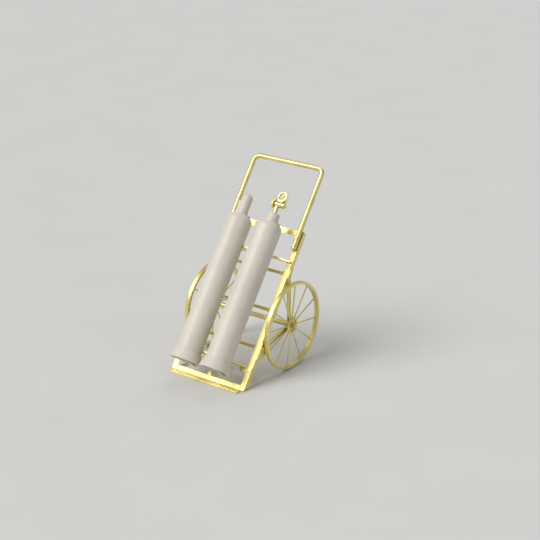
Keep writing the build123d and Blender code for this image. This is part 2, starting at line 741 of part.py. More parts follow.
# --------------------------------------------------------------------- wheels
# Profiles are drawn with local X along the axle and local Y out from it.
wheel_plane = at(0, WHEEL_Y, WHEEL_Z, "-y")
wheel_axis = cross_axis(WHEEL_Y, WHEEL_Z)
RIM_INNER_R = WHEEL_R - RIM_T

with BuildPart() as rim_right:
    with BuildSketch(wheel_plane):
        with Locations((RIM_X, WHEEL_R - RIM_T / 2)):
            rim_face = Rectangle(RIM_W, RIM_T)
        fillet(rim_face.vertices().sort_by(Axis(CART.origin, CART.z_dir))[-2:], 5)
        fillet(rim_face.vertices().sort_by(Axis(CART.origin, CART.z_dir))[:2], 3)
    revolve(axis=wheel_axis)
save(rim_right, "rim_right")

with BuildPart() as spokes_right:
    for i in range(SPOKES):
        turn = math.radians(i * 360 / SPOKES - 2)
        way = CART.y_dir * math.cos(turn) + CART.z_dir * math.sin(turn)
        hub_point = CART.from_local_coords(Vector(SPOKE_X, WHEEL_Y, WHEEL_Z))
        with BuildSketch(Plane(origin=hub_point + way * (HUB_R - 4), x_dir=CART.x_dir, z_dir=way)):
            Circle(SPOKE_R)
        extrude(amount=RIM_INNER_R - HUB_R + 10)
    # Trim both ends to the round faces of the hub and the rim.
    with BuildSketch(side(SPOKE_X - SPOKE_R - 2)):
        with Locations((WHEEL_Y, WHEEL_Z)):
            Circle(RIM_INNER_R)
            Circle(HUB_R, mode=Mode.SUBTRACT)
    extrude(amount=2 * SPOKE_R + 4, mode=Mode.INTERSECT)
save(spokes_right, "spokes_right")

with BuildPart() as hub_right:
    with BuildSketch(wheel_plane):
        with BuildLine():
            Polyline(
                (HUB_IN_X, BUSH_R), (HUB_IN_X, HUB_R - 7), (HUB_IN_X + 1.5, HUB_R),
                (HUB_OUT_X - 5, HUB_R), (HUB_OUT_X - 1.5, HUB_R - 2), (HUB_OUT_X, HUB_R - 5),
                (HUB_OUT_X, HUB_RECESS_R + 3), (HUB_OUT_X - 1.5, HUB_RECESS_R),
                (HUB_OUT_X - HUB_RECESS, HUB_RECESS_R - 4),
                (HUB_OUT_X - HUB_RECESS, HUB_BOSS_R + 2), (HUB_BOSS_X, HUB_BOSS_R),
                (HUB_BOSS_X, BUSH_R), close=True,
            )
        make_face()
    revolve(axis=wheel_axis)
save(hub_right, "hub_right")

with BuildPart() as bush_right:
    with BuildSketch(wheel_plane):
        with BuildLine():
            Polyline(
                (HUB_IN_X, AXLE_R + AXLE_FIT), (HUB_IN_X, BUSH_R),
                (HUB_BOSS_X, BUSH_R), (HUB_BOSS_X, AXLE_R + AXLE_FIT),
                close=True,
            )
        make_face()
    revolve(axis=wheel_axis)
save(bush_right, "bush_right")

for source, label in (
    (rim_right, "rim_left"),
    (spokes_right, "spokes_left"),
    (hub_right, "hub_left"),
    (bush_right, "bush_left"),
):
    with BuildPart() as mirrored:
        mirror(source.part, about=Plane.YZ)
    save(mirrored, label)

# ------------------------------------------------------------------ cylinders
# Turned profiles, local X out from the cylinder's own axis, local Y up the rails.
LEDGE_R = 62.0
for s, word in ((-1, "left"), (1, "right")):
    own_plane = at(s * CYL_X, CYL_Y, 0, "-y")
    own_axis = upright_axis(s * CYL_X, CYL_Y)

    # Shell: dished base, straight wall, stepped shoulder, open neck.
    with BuildPart() as cylinder:
        with BuildSketch(own_plane):
            with BuildLine():
                Line((0, CYL_BASE_Z + 10), (30, CYL_BASE_Z + 8))
                Spline((30, CYL_BASE_Z + 8), (66, CYL_BASE_Z), (CYL_R, CYL_BASE_Z + 26),
                       tangents=((1, -0.1), (0, 1)))
                Line((CYL_R, CYL_BASE_Z + 26), (CYL_R, CYL_SHOULDER_Z))
                Spline((CYL_R, CYL_SHOULDER_Z), (LEDGE_R + 17, NECK_Z - 22), (LEDGE_R, NECK_Z - 7),
                       tangents=((0, 1), (-1, 0.75)))
                Line((LEDGE_R, NECK_Z - 7), (LEDGE_R, NECK_Z))
                Line((LEDGE_R, NECK_Z), (NECK_BORE, NECK_Z))
                Line((NECK_BORE, NECK_Z), (NECK_BORE, NECK_Z - 14))
                Line((NECK_BORE, NECK_Z - 14), (LEDGE_R - 8, NECK_Z - 20))
                Spline((LEDGE_R - 8, NECK_Z - 20), (LEDGE_R + 9, NECK_Z - 31),
                       (CYL_R - CYL_WALL, CYL_SHOULDER_Z), tangents=((1, -0.5), (0, -1)))
                Line((CYL_R - CYL_WALL, CYL_SHOULDER_Z), (CYL_R - CYL_WALL, CYL_BASE_Z + 30))
                Line((CYL_R - CYL_WALL, CYL_BASE_Z + 30), (62, CYL_BASE_Z + 10))
                Line((62, CYL_BASE_Z + 10), (0, CYL_BASE_Z + 19))
                Line((0, CYL_BASE_Z + 19), (0, CYL_BASE_Z + 10))
            make_face()
        revolve(axis=own_axis)
    save(cylinder, f"cylinder_{word}")

    # Foot ring: shrunk on the shell, with a rounded top and a straight flare.
    with BuildPart() as foot_ring:
        with BuildSketch(own_plane):
            with BuildLine():
                Line((CYL_R, CYL_FOOT_Z + 40), (CYL_R, FOOT_TOP))
                Line((CYL_R, FOOT_TOP), (CYL_R + 1, FOOT_TOP))
                ThreePointArc((CYL_R + 1, FOOT_TOP), (CYL_R + 4, FOOT_TOP - 2),
                              (CYL_R + 6, FOOT_TOP - 9))
                Line((CYL_R + 6, FOOT_TOP - 9), (FOOT_R, CYL_FOOT_Z + 6))
                Line((FOOT_R, CYL_FOOT_Z + 6), (FOOT_R - 2, CYL_FOOT_Z))
                Line((FOOT_R - 2, CYL_FOOT_Z), (FOOT_R - 10, CYL_FOOT_Z))
                Line((FOOT_R - 10, CYL_FOOT_Z), (CYL_R, CYL_FOOT_Z + 40))
            make_face()
        revolve(axis=own_axis)
    save(foot_ring, f"foot_ring_{word}")

# Left cylinder: valve with a handwheel, under a tall screwed cap.
left_plane = at(-CYL_X, CYL_Y, 0, "-y")
left_axis = upright_axis(-CYL_X, CYL_Y)
CAP_R = 36.0
CAP_LUG_OUT = 17.0           # the lug for a spanner, beyond the cap's side
CAP_LUG_W = 18.0
CAP_LUG_TOP = 1190.0
CAP_WALL = 4.0
CAP_SIDE_TOP = 1216.0
CAP_TIP = 1251.0
CAP_VENT_Z = 1166.0
VENT_TURN = math.radians(33)
LEFT_NECK_R = CAP_R - CAP_WALL - 0.05

with BuildPart() as neck_ring_left:
    with BuildSketch(left_plane):
        with BuildLine():
            Polyline(
                (NECK_BORE, NECK_Z), (LEFT_NECK_R, NECK_Z), (LEFT_NECK_R, NECK_Z + 26),
                (LEFT_NECK_R - 3, NECK_Z + 29), (NECK_BORE, NECK_Z + 29), close=True,
            )
        make_face()
    revolve(axis=left_axis)
save(neck_ring_left, "neck_ring_left")

with BuildPart() as valve_left:
    with BuildSketch(left_plane):
        with BuildLine():
            Polyline(
                (0, NECK_Z - 14), (NECK_BORE, NECK_Z - 14), (NECK_BORE, NECK_Z + 40),
                (11, NECK_Z + 44), (11, NECK_Z + 78), (7, NECK_Z + 82), (7, NECK_Z + 88),
                (0, NECK_Z + 88), close=True,
            )
        make_face()
    revolve(axis=left_axis)
    with BuildSketch(at(-CYL_X, CYL_Y, NECK_Z + 60, "-y")):
        Circle(9)
    extrude(amount=26)
    with BuildSketch(at(-CYL_X, CYL_Y - 26, NECK_Z + 60, "y")):
        Circle(4)
    extrude(amount=14, mode=Mode.SUBTRACT)
save(valve_left, "valve_left")

with BuildPart() as handwheel_left:
    with BuildSketch(left_plane):
        with BuildLine():
            Polyline(
                (0, NECK_Z + 88.4), (6, NECK_Z + 88.4), (6, NECK_Z + 92), (20, NECK_Z + 92),
                (20, NECK_Z + 90), (26, NECK_Z + 90), (26, NECK_Z + 100), (20, NECK_Z + 100),
                (20, NECK_Z + 97), (6, NECK_Z + 97), (6, NECK_Z + 104), (0, NECK_Z + 104),
                close=True,
            )
        make_face()
    revolve(axis=left_axis)
    with BuildSketch(at(-CYL_X, CYL_Y, NECK_Z + 88.4, "z")):
        with PolarLocations(13, 5):
            Circle(4)
    extrude(amount=20, mode=Mode.SUBTRACT)
save(handwheel_left, "handwheel_left")

with BuildPart() as cap_left:
    with BuildSketch(left_plane):
        with BuildLine():
            Polyline(
                (CAP_R - CAP_WALL, NECK_Z + 0.5), (CAP_R, NECK_Z + 0.5), (CAP_R, CAP_SIDE_TOP),
            )
            Spline((CAP_R, CAP_SIDE_TOP), (CAP_R - 9, CAP_SIDE_TOP + 18), (11, CAP_TIP - 6),
                   tangents=((0, 1), (-1, 0.35)))
            Polyline(
                (11, CAP_TIP - 6), (8, CAP_TIP), (0, CAP_TIP), (0, CAP_TIP - 11),
                (9, CAP_TIP - 11),
            )
            Spline((9, CAP_TIP - 11), (CAP_R - 13, CAP_SIDE_TOP + 14),
                   (CAP_R - CAP_WALL, CAP_SIDE_TOP - 2), tangents=((1, -0.35), (0, -1)))
            Line((CAP_R - CAP_WALL, CAP_SIDE_TOP - 2), (CAP_R - CAP_WALL, NECK_Z + 0.5))
        make_face()
    revolve(axis=left_axis)
    # Upright lug on the outer side, with a small lip at its top.
    lug_in = -CYL_X - CAP_R + 1
    lug_out = -CYL_X - CAP_R - CAP_LUG_OUT
    with BuildSketch(front(CYL_Y + CAP_LUG_W / 2)):
        with BuildLine():
            Polyline(
                (lug_in, NECK_Z + 6), (lug_out + 2, NECK_Z + 6), (lug_out, NECK_Z + 9),
                (lug_out, CAP_LUG_TOP - 16), (lug_out - 5, CAP_LUG_TOP - 10),
                (lug_out - 5, CAP_LUG_TOP - 2), (lug_in, CAP_LUG_TOP), close=True,
            )
        make_face()
    extrude(amount=CAP_LUG_W)
    # Two upright vent slots, at the back on either side.
    vent_way = CART.x_dir * math.cos(VENT_TURN) + CART.y_dir * math.sin(VENT_TURN)
    vent_mid = CART.from_local_coords(Vector(-CYL_X, CYL_Y, CAP_VENT_Z))
    with BuildSketch(Plane(origin=vent_mid, x_dir=CART.z_dir, z_dir=vent_way)):
        SlotOverall(32, 12)
    extrude(amount=1.5 * CAP_R, mode=Mode.SUBTRACT)
    vent_back = CART.x_dir * math.cos(VENT_TURN) - CART.y_dir * math.sin(VENT_TURN)
    with BuildSketch(Plane(origin=vent_mid, x_dir=CART.z_dir, z_dir=-vent_back)):
        SlotOverall(32, 12)
    extrude(amount=1.5 * CAP_R, mode=Mode.SUBTRACT)
save(cap_left, "cap_left")

# Right cylinder: plain collar, brass valve stem and a single gauge regulator.
right_plane = at(CYL_X, CYL_Y, 0, "-y")
right_axis = upright_axis(CYL_X, CYL_Y)
REG_Z = 1225.0
REG_R = 20.5
REG_LEFT = -16.0
REG_RIGHT = 58.0
STEM_TOP = 1205.0

with BuildPart() as neck_ring_right:
    with BuildSketch(right_plane):
        with BuildLine():
            Line((NECK_BORE, NECK_Z), (NECK_R + 3, NECK_Z))
            Line((NECK_R + 3, NECK_Z), (NECK_R, NECK_Z + 6))
            Line((NECK_R, NECK_Z + 6), (NECK_R, NECK_TOP - 12))
            ThreePointArc((NECK_R, NECK_TOP - 12), (NECK_R - 3.5, NECK_TOP - 3.5),
                          (NECK_R - 12, NECK_TOP))
            Line((NECK_R - 12, NECK_TOP), (NECK_BORE, NECK_TOP))
            Line((NECK_BORE, NECK_TOP), (NECK_BORE, NECK_Z))
        make_face()
    revolve(axis=right_axis)
save(neck_ring_right, "neck_ring_right")

with BuildPart() as valve_stem_right:
    with BuildSketch(right_plane):
        with BuildLine():
            Polyline(
                (0, NECK_Z - 14), (NECK_BORE, NECK_Z - 14), (NECK_BORE, STEM_TOP - 17),
                (0, STEM_TOP - 17), close=True,
            )
        make_face()
    revolve(axis=right_axis)
save(valve_stem_right, "valve_stem_right")

with BuildPart() as inlet_nut:
    with BuildSketch(at(CYL_X, CYL_Y, STEM_TOP - 17, "z")):
        RegularPolygon(18, 6)
    extrude(amount=14)
    with BuildSketch(at(CYL_X, CYL_Y, STEM_TOP - 17, "z")):
        Circle(17)
    extrude(amount=14, mode=Mode.INTERSECT)
save(inlet_nut, "inlet_nut")

reg_plane = at(0, CYL_Y, REG_Z, "-y")
reg_axis = cross_axis(CYL_Y, REG_Z)
GAUGE_X = CYL_X + 21.0
GAUGE_Z = 1281.0
GAUGE_R = 34.0
GAUGE_FACE_Y = CYL_Y - 14.0
GAUGE_DEEP = 26.0
PEDESTAL_HALF_X = 27.0
PEDESTAL_T = 10.0
with BuildPart() as regulator_body:
    # Barrel with a stepped right-hand end and the bonnet on its left.
    with BuildSketch(reg_plane):
        with BuildLine():
            Polyline(
                (CYL_X + REG_LEFT - 8, 0), (CYL_X + REG_LEFT - 8, 15), (CYL_X + REG_LEFT, 15),
                (CYL_X + REG_LEFT, REG_R - 2), (CYL_X + REG_LEFT + 2, REG_R),
                (CYL_X + REG_LEFT + 16, REG_R), (CYL_X + REG_LEFT + 18, REG_R - 2.5),
                (CYL_X + REG_LEFT + 21, REG_R - 2.5), (CYL_X + REG_LEFT + 23, REG_R),
                (CYL_X + REG_RIGHT - 3, REG_R), (CYL_X + REG_RIGHT, REG_R - 3),
                (CYL_X + REG_RIGHT, 0), close=True,
            )
        make_face()
    revolve(axis=reg_axis)
    # Foot down to the inlet nut, and the boss that the gauge screws into.
    with BuildSketch(at(CYL_X, CYL_Y, STEM_TOP - 3, "z")):
        Circle(14)
    extrude(amount=REG_Z - STEM_TOP)
    with BuildSketch(at(GAUGE_X, CYL_Y, REG_Z, "z")):
        RegularPolygon(13, 6)
    extrude(amount=GAUGE_Z - GAUGE_R - REG_Z - 0.5)
    # Tapped hole for the adjusting screw.
    with BuildSketch(at(CYL_X + REG_LEFT - 8, CYL_Y, REG_Z, "x")):
        Circle(6.05)
    extrude(amount=22, mode=Mode.SUBTRACT)
save(regulator_body, "regulator_body")

# Adjusting knob: fluted disc on a screw that runs into the bonnet.
KNOB_R = 30.0
KNOB_T = 13.0
KNOB_X = CYL_X + REG_LEFT - 9.0
with BuildPart() as adjusting_knob:
    with BuildSketch(at(KNOB_X, CYL_Y, REG_Z, "-x")):
        Circle(KNOB_R)
        with PolarLocations(KNOB_R + 2.2, 14):
            Circle(4, mode=Mode.SUBTRACT)
    extrude(amount=KNOB_T)
    with BuildSketch(at(KNOB_X - KNOB_T, CYL_Y, REG_Z, "-x")):
        Circle(13)
    extrude(amount=3, taper=30)
    with BuildSketch(at(KNOB_X, CYL_Y, REG_Z, "x")):
        Circle(6)
    extrude(amount=18)
save(adjusting_knob, "adjusting_knob")

# Gauge: cup shaped case with a rolled bezel, dial, needle and window.
gauge_axis = Axis(CART.from_local_coords(Vector(GAUGE_X, CYL_Y, GAUGE_Z)), -CART.y_dir)
gauge_plane = at(GAUGE_X, 0, GAUGE_Z, "z")   # local X out from the gauge axis
with BuildPart() as gauge_case:
    with BuildSketch(gauge_plane):
        with BuildLine():
            Polyline(
                (0, GAUGE_FACE_Y + GAUGE_DEEP), (GAUGE_R - 4, GAUGE_FACE_Y + GAUGE_DEEP),
                (GAUGE_R - 1.5, GAUGE_FACE_Y + GAUGE_DEEP - 3),
                (GAUGE_R - 1.5, GAUGE_FACE_Y + 8), (GAUGE_R, GAUGE_FACE_Y + 6.5),
                (GAUGE_R, GAUGE_FACE_Y + 1.5), (GAUGE_R - 1.5, GAUGE_FACE_Y),
                (GAUGE_R - 5, GAUGE_FACE_Y), (GAUGE_R - 5, GAUGE_FACE_Y + 2.5),
                (GAUGE_R - 3.5, GAUGE_FACE_Y + 2.5), (GAUGE_R - 3.5, GAUGE_FACE_Y + 14),
                (0, GAUGE_FACE_Y + 14), close=True,
            )
        make_face()
    revolve(axis=gauge_axis)
    with BuildSketch(at(GAUGE_X, CYL_Y, GAUGE_Z - GAUGE_R - 0.5, "z")):
        Circle(7)
    extrude(amount=3.4)
    # Pedestal that closes the corner between the round case and the barrel.
    with BuildSketch(front(GAUGE_FACE_Y + GAUGE_DEEP - 1)):
        with Locations((GAUGE_X, GAUGE_Z - GAUGE_R + 6)):
            Rectangle(2 * PEDESTAL_HALF_X, 13)
    extrude(amount=PEDESTAL_T)
save(gauge_case, "gauge_case")

with BuildPart() as gauge_dial:
    with BuildSketch(at(GAUGE_X, GAUGE_FACE_Y + 14, GAUGE_Z, "-y")):
        Circle(GAUGE_R - 3.5)
    extrude(amount=2)
    with BuildSketch(at(GAUGE_X, GAUGE_FACE_Y + 12, GAUGE_Z, "-y")):
        Circle(1.5)
    extrude(amount=4)
save(gauge_dial, "gauge_dial")

# The needle rests at the low end of its scale, down to the left.
with BuildPart() as gauge_needle:
    with BuildSketch(at(GAUGE_X, GAUGE_FACE_Y + 11, GAUGE_Z, "-y")):
        tip_way = Vector(0, 1).rotate(Axis.Z, 135)
        tip_side = Vector(1, 0).rotate(Axis.Z, 135)
        corners = [
            tip_way * along + tip_side * across
            for along, across in ((-9, -2), (-9, 2), (25, 1), (25, -1))
        ]
        with BuildLine():
            Polyline(*[(p.X, p.Y) for p in corners], close=True)
        make_face()
        Circle(4)
        Circle(1.55, mode=Mode.SUBTRACT)
    extrude(amount=1.4)
save(gauge_needle, "gauge_needle")

with BuildPart() as gauge_window:
    with BuildSketch(at(GAUGE_X, GAUGE_FACE_Y + 4.5, GAUGE_Z, "-y")):
        Circle(GAUGE_R - 3.5)
    extrude(amount=2)
save(gauge_window, "gauge_window")

# Outlet: hex shoulder, cone and plain hose nipple, pointing outward and down.
NIPPLE_R = 6.0
NIPPLE_END = 42.0
with BuildPart() as outlet_nipple:
    out_way = CART.x_dir * math.cos(math.radians(30)) - CART.z_dir * math.sin(math.radians(30))
    out_from = CART.from_local_coords(Vector(CYL_X + REG_RIGHT - 14, CYL_Y, REG_Z - 4))
    out_plane = Plane(origin=out_from, x_dir=CART.y_dir, z_dir=out_way)
    with BuildSketch(out_plane.offset(14)):
        RegularPolygon(12, 6)
    extrude(amount=9)
    with BuildSketch(out_plane):
        Circle(8)
    extrude(amount=14)
    with BuildSketch(out_plane.offset(23)):
        Circle(8.5)
    extrude(amount=6, taper=22)
    with BuildSketch(out_plane.offset(23)):
        Circle(NIPPLE_R)
    nipple = extrude(amount=NIPPLE_END - 23)
    chamfer(nipple.faces().sort_by(Axis(out_from, out_way))[-1].edges(), 1)
    with BuildSketch(out_plane.offset(NIPPLE_END)):
        Circle(3)
    extrude(amount=-30, mode=Mode.SUBTRACT)
    with BuildSketch(at(CYL_X + REG_RIGHT, CYL_Y, REG_Z, "-x")):
        Circle(REG_R)
    extrude(amount=60, mode=Mode.SUBTRACT)
save(outlet_nipple, "outlet_nipple")
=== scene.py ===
"""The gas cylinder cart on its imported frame: materials, weld beads, spoke roots, dial marks, studio."""
import json
import math
import random

import bmesh
import bpy
from mathutils import Matrix, Vector


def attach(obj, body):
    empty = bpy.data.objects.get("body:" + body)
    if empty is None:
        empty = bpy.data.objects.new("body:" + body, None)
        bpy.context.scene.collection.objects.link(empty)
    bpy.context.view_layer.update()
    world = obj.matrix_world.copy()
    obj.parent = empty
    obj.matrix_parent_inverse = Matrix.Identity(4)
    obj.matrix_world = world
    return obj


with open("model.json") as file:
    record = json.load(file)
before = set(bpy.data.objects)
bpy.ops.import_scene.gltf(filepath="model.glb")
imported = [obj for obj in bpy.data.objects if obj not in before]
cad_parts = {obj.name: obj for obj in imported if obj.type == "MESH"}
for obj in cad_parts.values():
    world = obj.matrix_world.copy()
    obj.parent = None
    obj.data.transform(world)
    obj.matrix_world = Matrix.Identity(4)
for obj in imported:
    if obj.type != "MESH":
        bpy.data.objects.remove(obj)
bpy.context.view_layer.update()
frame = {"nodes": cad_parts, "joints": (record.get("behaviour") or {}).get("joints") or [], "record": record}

# ------------------------------------------------------------------ the cart's own frame
# ACROSS is the scene's X. UP runs along the rails and cylinders, BACK from the cylinders
# to the wheels, square to UP.
JOINTS = {joint["name"]: joint for joint in frame["joints"]}
MOUNTS = {mount["name"]: mount for mount in frame["record"]["mounts"]}
UP = Vector(JOINTS["cap_unscrew"]["axis"])
BACK = -Vector(JOINTS["cylinder_left_out"]["axis"])
ACROSS = Vector((1, 0, 0))

# Sizes of the CAD model that the added pieces follow, in millimetres in the cart's frame.
HANDLE_R = 17.5
HANDLE_TOP = 1567.0
RAIL_INNER_X, RAIL_OUTER_X = 268.0, 306.0
FLANGE_T, BEAM_R = 6.0, 17.0
RIM_IN_R = 290.0
HUB_R = 54.0
SPOKES, SPOKE_X, SPOKE_R = 12, 329.0, 5.0
SPOKE_TURN = -2.0                   # degrees from straight back to the first spoke
WHEEL_AT = (233.0, 518.0)           # the axle, back and up the rails
CYL_X, CYL_Y = 125.0, -144.0
GAUGE_X, GAUGE_Z = CYL_X + 21.0, 1281.0
DIAL_Y = CYL_Y - 2.0
DIAL_R = 30.5
CRADLE_LOWER_Z, TAB_T = 123.0, 5.0
BRACKET_SPAN = (214, 266)           # the cradle bracket's top edge, across
POST_FOOT_HALF, POST_BACK_Y = 17, 7.6

ORIGIN = Vector(MOUNTS["handle_grip"]["pos_m"]) + BACK * HANDLE_R / 1000 - UP * HANDLE_TOP / 1000


def cart(x, y, z):
    """A point given in millimetres in the cart's own frame, as a point of the scene."""
    return ORIGIN + (ACROSS * x + BACK * y + UP * z) / 1000


# ------------------------------------------------------------------------- node materials
class Look:
    """A material built node by node on the object's own coordinates, in metres."""

    def __init__(self, name):
        self.material = bpy.data.materials.new(name)
        self.material.use_nodes = True
        self.tree = self.material.node_tree
        self.shader = self.tree.nodes["Principled BSDF"]
        self.place = self.node("ShaderNodeTexCoord").outputs["Object"]

    def node(self, kind, **settings):
        made = self.tree.nodes.new(kind)
        for key, value in settings.items():
            setattr(made, key, value)
        return made

    def put(self, socket, value):
        """Sets a socket to a constant, or links it to another node's output."""
        if isinstance(value, bpy.types.NodeSocket):
            self.tree.links.new(value, socket)
        else:
            socket.default_value = value

    def set(self, **values):
        """Sets the main shader's sockets, named with _ for a space."""
        for key, value in values.items():
            self.put(self.shader.inputs[key.replace("_", " ")], value)

    def stretched(self, x, y, z):
        mapping = self.node("ShaderNodeMapping")
        self.put(mapping.inputs["Vector"], self.place)
        mapping.inputs["Scale"].default_value = (x, y, z)
        return mapping.outputs["Vector"]

    def noise(self, scale, detail=4.0, rough=0.55, place=None):
        made = self.node("ShaderNodeTexNoise")
        self.put(made.inputs["Vector"], place or self.place)
        made.inputs["Scale"].default_value = scale
        made.inputs["Detail"].default_value = detail
        made.inputs["Roughness"].default_value = rough
        return made.outputs["Fac"]

    def spots(self, scale, place=None):
        """Distance to the nearest of many scattered points."""
        made = self.node("ShaderNodeTexVoronoi")
        self.put(made.inputs["Vector"], place or self.place)
        made.inputs["Scale"].default_value = scale
        return made.outputs["Distance"]

    def span(self, value, low, high, to_low=0.0, to_high=1.0):
        """Maps low..high to to_low..to_high, held at the ends."""
        made = self.node("ShaderNodeMapRange")
        for key, number in (("Value", value), ("From Min", low), ("From Max", high),
                            ("To Min", to_low), ("To Max", to_high)):
            self.put(made.inputs[key], number)
        return made.outputs["Result"]

    def sum(self, *values, operation="ADD"):
        total = values[0]
        for value in values[1:]:
            made = self.node("ShaderNodeMath", operation=operation)
            self.put(made.inputs[0], total)
            self.put(made.inputs[1], value)
            total = made.outputs["Value"]
        return total

    def times(self, *values):
        return self.sum(*values, operation="MULTIPLY")

    def mix(self, amount, first, second):
        made = self.node("ShaderNodeMix", data_type="RGBA")
        self.put(made.inputs["Factor"], amount)
        for socket, colour in ((made.inputs[6], first), (made.inputs[7], second)):
            self.put(socket, colour if isinstance(colour, bpy.types.NodeSocket) else (*colour, 1))
        return made.outputs[2]

    def edges(self, width):
        """1 within about width metres of a sharp edge, 0 on flat stretches."""
        bevel = self.node("ShaderNodeBevel", samples=4)
        bevel.inputs["Radius"].default_value = width
        flat = self.node("ShaderNodeNewGeometry").outputs["Normal"]
        dot = self.node("ShaderNodeVectorMath", operation="DOT_PRODUCT")
        self.put(dot.inputs[0], bevel.outputs["Normal"])
        self.put(dot.inputs[1], flat)
        return self.span(dot.outputs["Value"], 1.0, 0.9)

    def painted_crevice_shade(self, reach):
        """A painted-shade mask: 0 in the open, up to 0.85 in corners and grooves narrower than reach metres.
        """
        shade = self.node("ShaderNodeAmbientOcclusion", samples=4)
        shade.inputs["Distance"].default_value = reach
        return self.span(shade.outputs["AO"], 0.35, 0.80, 0.85, 0.0)

    def bump(self, height, depth):
        """Relief of the given depth in metres, for a height from 0 to 1."""
        made = self.node("ShaderNodeBump")
        self.put(made.inputs["Height"], height)
        made.inputs["Distance"].default_value = depth
        self.put(self.shader.inputs["Normal"], made.outputs["Normal"])


def brass(name, lit, dull, rough=0.37, grain=650.0, relief=0.00025):
    """Pale brass: cloudy tone, greenish-brown tarnish in patches, painted shade of that colour in corners
    and grooves, worn bright edges, fine etched grain.
    """
    look = Look(name)
    cloud = look.noise(7.0, 5.0)
    patch = look.span(look.noise(16.0, 6.0, 0.65), 0.56, 0.74)
    fine = look.noise(grain, 3.0, 0.6)
    pits = look.span(look.spots(220.0), 0.0, 0.16, 0.0, 1.0)
    worn = look.times(look.edges(0.0014), look.span(look.noise(60.0, 3.0), 0.35, 0.6))
    tone = look.mix(look.span(cloud, 0.38, 0.75, 0.0, 0.75), lit, dull)
    # One darker colour for the tarnish patches and for the painted shade in corners and grooves.
    tarnish_and_shade_colour = tuple(c * k for c, k in zip(dull, (0.62, 0.56, 0.38)))
    tone = look.mix(look.times(patch, 0.26), tone, tarnish_and_shade_colour)
    # Painted shade: corners and grooves are darkened towards that colour.
    tone = look.mix(look.painted_crevice_shade(0.014), tone, tarnish_and_shade_colour)
    bright = tuple(min(1.0, c * 1.1 + 0.04) for c in lit)
    look.set(
        Base_Color=look.mix(look.times(worn, 0.7), tone, bright),
        Metallic=0.90,
        Roughness=look.sum(
            look.span(fine, 0.3, 0.7, rough - 0.06, rough + 0.10),
            look.times(patch, 0.14), look.times(worn, -0.10),
        ),
    )
    look.bump(look.sum(look.times(fine, 0.55), look.times(pits, 0.45)), relief)
    return look.material


FRAME_LIT, FRAME_DULL = (0.94, 0.83, 0.37), (0.71, 0.60, 0.21)
BOLT_LIT, BOLT_DULL = (0.94, 0.79, 0.37), (0.70, 0.56, 0.20)
FITTING_LIT, FITTING_DULL = (0.95, 0.84, 0.39), (0.78, 0.66, 0.25)


def cylinder_coat():
    """Satin off-white coat with a soft, slightly waxy depth and small scuffs."""
    look = Look("cylinder_coat")
    cloud = look.noise(5.0, 4.0)
    mottle = look.noise(38.0, 5.0, 0.6)
    streak = look.noise(30.0, 3.0, place=look.stretched(1.0, 0.12, 0.09))
    peel = look.noise(420.0, 2.0, 0.5)
    scuff = look.span(look.noise(90.0, 8.0, 0.75), 0.66, 0.72)
    tone = look.mix(look.span(cloud, 0.3, 0.7), (0.77, 0.72, 0.63), (0.70, 0.65, 0.57))
    tone = look.mix(look.span(mottle, 0.45, 0.75, 0.0, 0.28), tone, (0.60, 0.555, 0.46))
    tone = look.mix(look.span(streak, 0.55, 0.8, 0.0, 0.25), tone, (0.80, 0.765, 0.69))
    # Painted highlight: the coat is lighter along every sharp edge.
    tone = look.mix(look.times(look.edges(0.0016), 0.55), tone, (0.82, 0.78, 0.70))
    look.set(
        Base_Color=look.mix(look.times(scuff, 0.35), tone, (0.50, 0.465, 0.39)),
        Roughness=look.sum(look.span(mottle, 0.3, 0.7, 0.40, 0.54), look.times(scuff, 0.12)),
        Subsurface_Weight=0.18,
        Subsurface_Radius=(1.0, 0.85, 0.6),
        Subsurface_Scale=0.012,
        Coat_Weight=0.18,
        Coat_Roughness=0.32,
    )
    look.bump(look.sum(look.times(peel, 0.5), look.times(mottle, 0.5)), 0.0006)
    return look.material


def dial_face():
    """Pale brushed dial plate."""
    look = Look("dial_face")
    brushed = look.noise(500.0, 3.0, place=look.stretched(1.0, 0.05, 0.05))
    tone = look.mix(look.span(brushed, 0.3, 0.7), (0.96, 0.86, 0.42), (0.88, 0.77, 0.36))
    look.set(Base_Color=tone, Metallic=0.15, Roughness=look.span(brushed, 0.3, 0.7, 0.50, 0.62))
    look.bump(brushed, 0.00006)
    return look.material


def dial_ink(name, colour):
    look = Look(name)
    speck = look.noise(1500.0, 3.0)
    soft = tuple(min(1.0, c + 0.05) for c in colour)
    look.set(
        Base_Color=look.mix(look.span(speck, 0.4, 0.7), colour, soft),
        Roughness=look.span(speck, 0.3, 0.7, 0.42, 0.58),
    )
    look.bump(speck, 0.00003)
    return look.material


def clear_window():
    """Thin clear window with faint wipe marks, that lets light through to the dial."""
    look = Look("clear_window")
    wipe = look.noise(160.0, 5.0, place=look.stretched(1.0, 0.3, 0.3))
    look.set(
        Base_Color=look.mix(look.span(wipe, 0.4, 0.7), (1.0, 0.97, 0.80), (0.97, 0.93, 0.76)),
        Roughness=look.span(wipe, 0.45, 0.75, 0.04, 0.14),
        Alpha=0.07,
    )
    return look.material


SLOT_LOOKS = {
    "frame_brass": brass("brass_frame", FRAME_LIT, FRAME_DULL),
    "fastener_brass": brass("brass_fasteners", BOLT_LIT, BOLT_DULL, rough=0.36, grain=1100.0,
                            relief=0.00012),
    "fitting_brass": brass("brass_fittings", FITTING_LIT, FITTING_DULL, rough=0.32,
                           grain=1400.0, relief=0.0001),
    "cylinder_paint": cylinder_coat(),
    "dial": dial_face(),
    "needle": dial_ink("needle_paint", (0.26, 0.19, 0.08)),
    "window": clear_window(),
}


def dress_frame():
    """Gives every CAD node the material of its slot."""
    for part in frame["record"]["subparts"]:
        node = frame["nodes"][part["node"]]
        node.data.materials.clear()
        node.data.materials.append(SLOT_LOOKS[part["material_slot"]])


